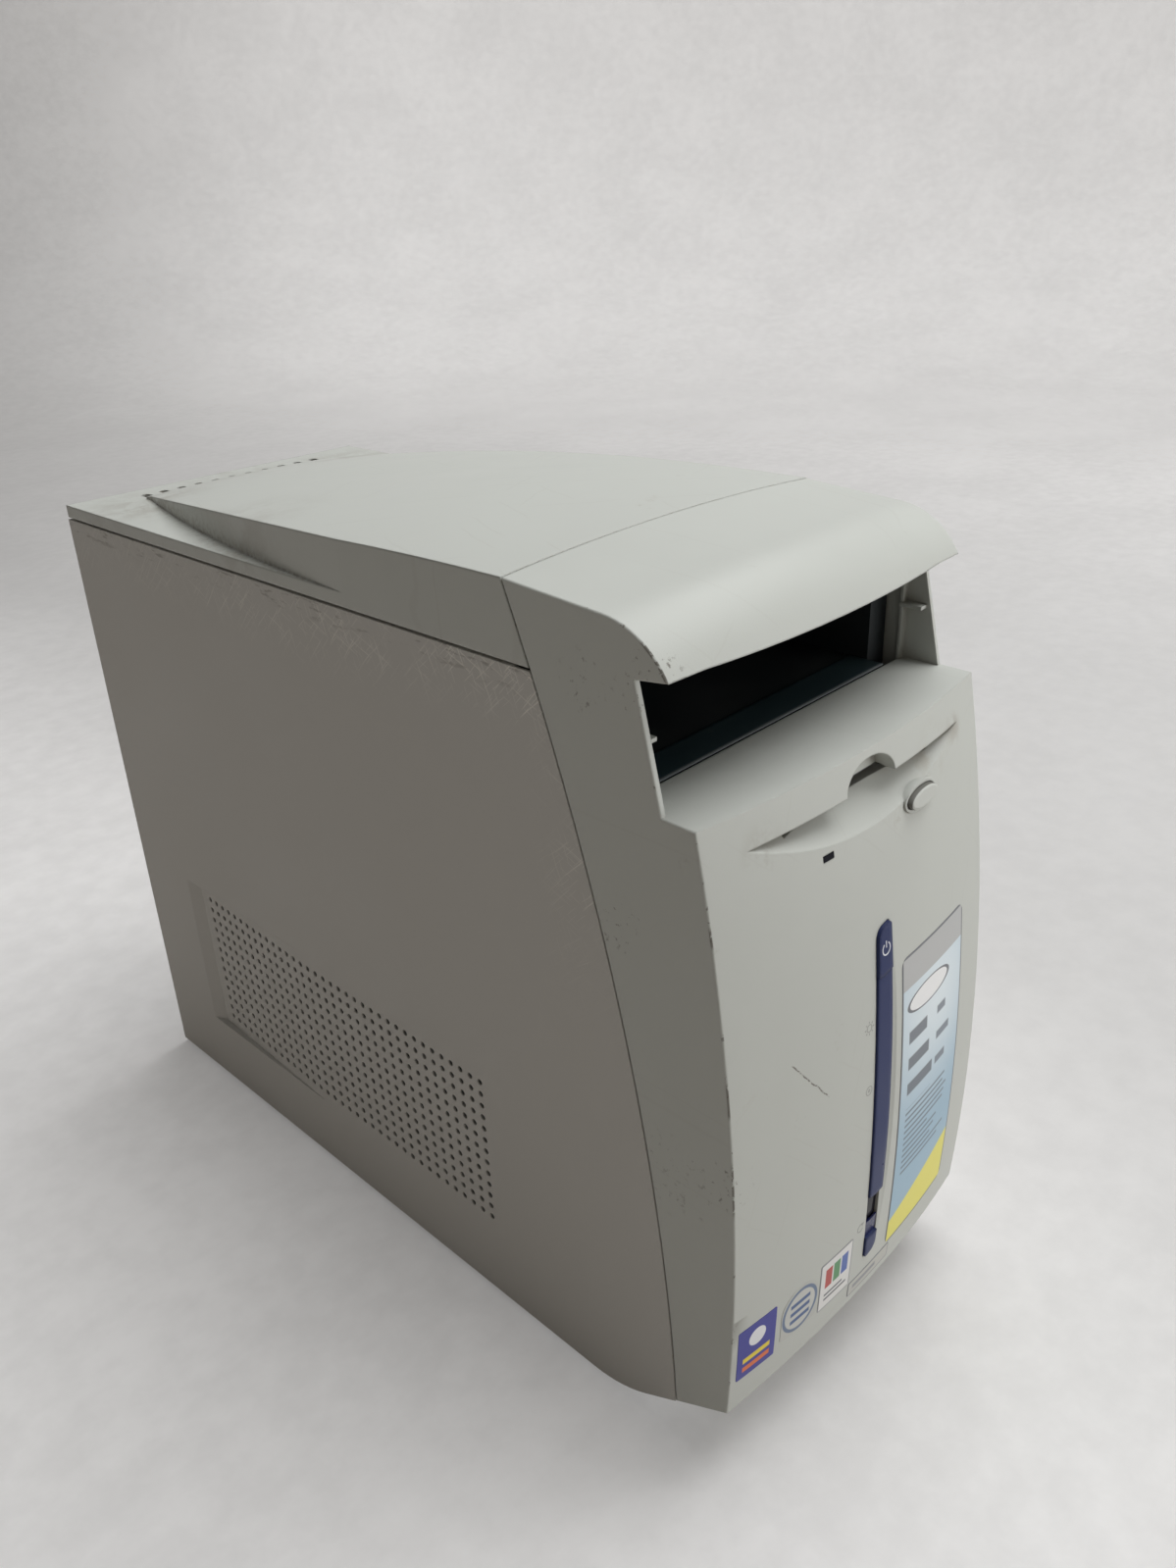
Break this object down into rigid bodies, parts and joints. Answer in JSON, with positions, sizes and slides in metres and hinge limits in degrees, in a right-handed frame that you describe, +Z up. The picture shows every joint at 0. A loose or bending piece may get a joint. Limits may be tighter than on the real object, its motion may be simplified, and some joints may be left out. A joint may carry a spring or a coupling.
{
  "type": "desktop computer tower",
  "caption": "Upright desktop computer tower with a curved plastic front, hooded open drive bay, disk slot with eject button, indicator strip, domed top and side panels that slide off.",
  "frame": {"origin": "on the floor under the middle of the tower", "axes": "+Z up, the front faces -Y, +X to the right as seen from the front"},
  "size_m": [0.18, 0.4512, 0.374],
  "materials": {
    "putty_plastic": "fine-textured moulded plastic",
    "putty_paint": "matt paint on steel sheet",
    "blue_plastic": "smooth indigo plastic",
    "navy_plastic": "smooth dark blue plastic",
    "dark_window": "dark translucent plastic",
    "lamp_lens": "clear lens",
    "bay_paint": "dark matt paint on steel sheet",
    "zinc_steel": "zinc-plated sheet",
    "drive_grey": "grey",
    "cast_aluminium": "as cast",
    "foot_rubber": "matt",
    "black_plastic": "moulded",
    "red_plastic": "smooth",
    "board_green": "lacquered glass-fibre board",
    "white_plastic": "moulded",
    "plated_metal": "bright plating",
    "brass_post": "turned",
    "cable_grey": "cable sheath"
  },
  "bodies": {
    "chassis": {"audio_jacks": "black_plastic", "base_pan": "zinc_steel", "board_sockets": "white_plastic", "board_standoffs": "brass_post", "board_tray": "zinc_steel", "cable_plugs": "black_plastic", "case_screws": "zinc_steel", "chip_set": "cast_aluminium", "coin_cell": "plated_metal", "cpu_fan_frame": "black_plastic", "d_ports": "plated_metal", "disk_lamp_window": "lamp_lens", "drive_bay_cage": "bay_paint", "floppy_drive": "drive_grey", "front_bezel": "putty_plastic", "front_frame": "bay_paint", "front_switches": "black_plastic", "hard_drive": "cast_aluminium", "heatsink": "cast_aluminium", "indicator_lamps": "lamp_lens", "indicator_window": "dark_window", "keyboard_ports": "white_plastic", "light_strip": "blue_plastic", "lower_drive_cage": "zinc_steel", "main_board": "board_green", "mains_inlet": "black_plastic", "memory_module": "board_green", "modem_card": "board_green", "port_shield": "zinc_steel", "power_leads": "cable_grey", "processor_socket": "white_plastic", "psu_board": "board_green", "psu_case": "zinc_steel", "psu_cover": "zinc_steel", "psu_fan_frame": "black_plastic", "psu_fan_guard": "zinc_steel", "rear_panel": "zinc_steel", "ribbon_cables": "cable_grey", "rubber_feet": "foot_rubber", "slot_brackets": "zinc_steel", "speaker": "drive_grey", "switch_board": "board_green", "top_cover": "putty_plastic", "top_plate": "zinc_steel", "usb_ports": "plated_metal", "voltage_selector": "black_plastic"},
    "power_button": {"power_button": "blue_plastic", "power_switch_plunger": "black_plastic"},
    "reset_button": {"reset_button": "navy_plastic", "reset_switch_plunger": "black_plastic"},
    "eject_button": {"eject_button": "putty_plastic", "eject_plunger": "black_plastic"},
    "left_panel": {"left_side_panel": "putty_paint", "left_panel_screws": "zinc_steel"},
    "right_panel": {"right_side_panel": "putty_paint", "right_panel_screws": "zinc_steel"},
    "psu_fan": {"psu_fan_rotor": "black_plastic"},
    "processor_fan": {"cpu_fan_rotor": "black_plastic"},
    "voltage_slider": {"voltage_slider": "red_plastic"}
  },
  "joints": [
    {"name": "power_button_press", "type": "slide", "parent": "chassis", "child": "power_button", "axis": [0, 1, 0], "range_m": [0, 0.002], "stiffness_N_per_m": 600, "springref_m": -0.0005},
    {"name": "reset_button_press", "type": "slide", "parent": "chassis", "child": "reset_button", "axis": [0, 1, 0], "range_m": [0, 0.0012], "stiffness_N_per_m": 600, "springref_m": -0.0005},
    {"name": "eject_button_press", "type": "slide", "parent": "chassis", "child": "eject_button", "axis": [0, 1, 0], "range_m": [0, 0.005], "stiffness_N_per_m": 400, "springref_m": -0.001},
    {"name": "left_panel_slide", "type": "slide", "parent": "chassis", "child": "left_panel", "axis": [0, 1, 0], "range_m": [0, 0.02]},
    {"name": "right_panel_slide", "type": "slide", "parent": "chassis", "child": "right_panel", "axis": [0, 1, 0], "range_m": [0, 0.02]},
    {"name": "psu_fan_spin", "type": "hinge", "parent": "chassis", "child": "psu_fan", "pos_m": [-0.028, 0.2, 0.295], "axis": [0, 1, 0], "continuous": true},
    {"name": "processor_fan_spin", "type": "hinge", "parent": "chassis", "child": "processor_fan", "pos_m": [0.02755, 0.135, 0.192], "axis": [1, 0, 0], "continuous": true},
    {"name": "voltage_slide", "type": "slide", "parent": "chassis", "child": "voltage_slider", "axis": [1, 0, 0], "range_m": [0, 0.006]}
  ]
}
